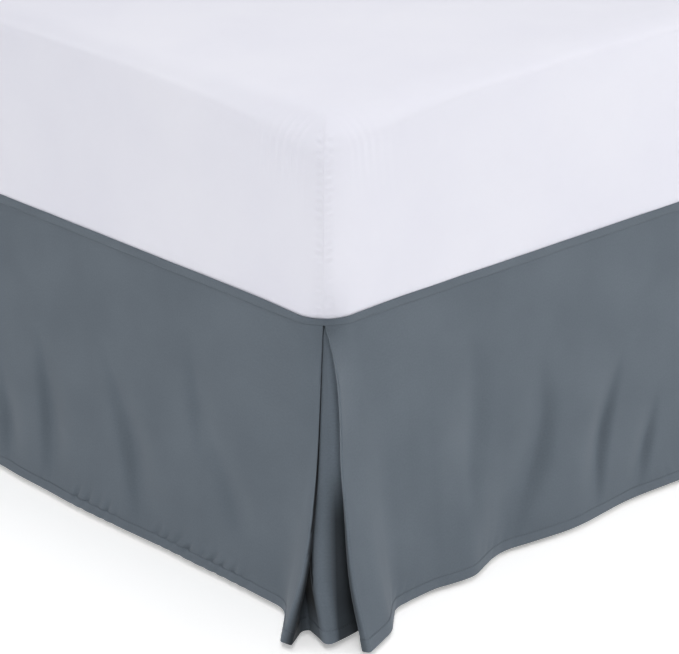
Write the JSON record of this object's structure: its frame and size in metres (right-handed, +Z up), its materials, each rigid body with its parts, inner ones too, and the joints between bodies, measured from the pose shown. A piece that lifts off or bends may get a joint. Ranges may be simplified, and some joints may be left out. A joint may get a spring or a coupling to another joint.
{
  "type": "bed skirt on a plain bed",
  "caption": "Tailored slate-grey bed skirt that hangs from under a white-sheeted mattress to just above the floor, with an inverted pleat at each foot corner; it hides the base and frame.",
  "frame": {"origin": "Centre of the whole object's box in plan, at the floor.", "axes": "+X across the bed, from the long side seen at the picture's left to the other long side; +Y from the foot, which carries the picture's right face, to the open head end; +Z up."},
  "size_m": [1.652, 2.1238, 0.6418],
  "materials": {
    "skirt_microfibre": "smooth, matt, closely woven slate-grey microfibre",
    "mattress_sheeting": "plain white fitted sheet in fine cotton, matt",
    "box_spring_ticking": "off-white woven ticking, matt",
    "frame_steel": "black powder coat, satin",
    "glide_plastic": "dark grey moulded plastic, matt"
  },
  "bodies": {
    "root": {"platform": "skirt_microfibre", "side_drop_left": "skirt_microfibre", "foot_drop": "skirt_microfibre", "side_drop_right": "skirt_microfibre", "mattress": "mattress_sheeting", "box_spring": "box_spring_ticking", "side_rail_left": "frame_steel", "side_rail_right": "frame_steel", "cross_rail_foot": "frame_steel", "cross_rail_middle": "frame_steel", "cross_rail_head": "frame_steel", "leg_left_foot": "frame_steel", "glide_left_foot": "glide_plastic", "leg_left_head": "frame_steel", "glide_left_head": "glide_plastic", "leg_middle_foot": "frame_steel", "glide_middle_foot": "glide_plastic", "leg_middle_head": "frame_steel", "glide_middle_head": "glide_plastic", "leg_right_foot": "frame_steel", "glide_right_foot": "glide_plastic", "leg_right_head": "frame_steel", "glide_right_head": "glide_plastic"}
  },
  "joints": []
}
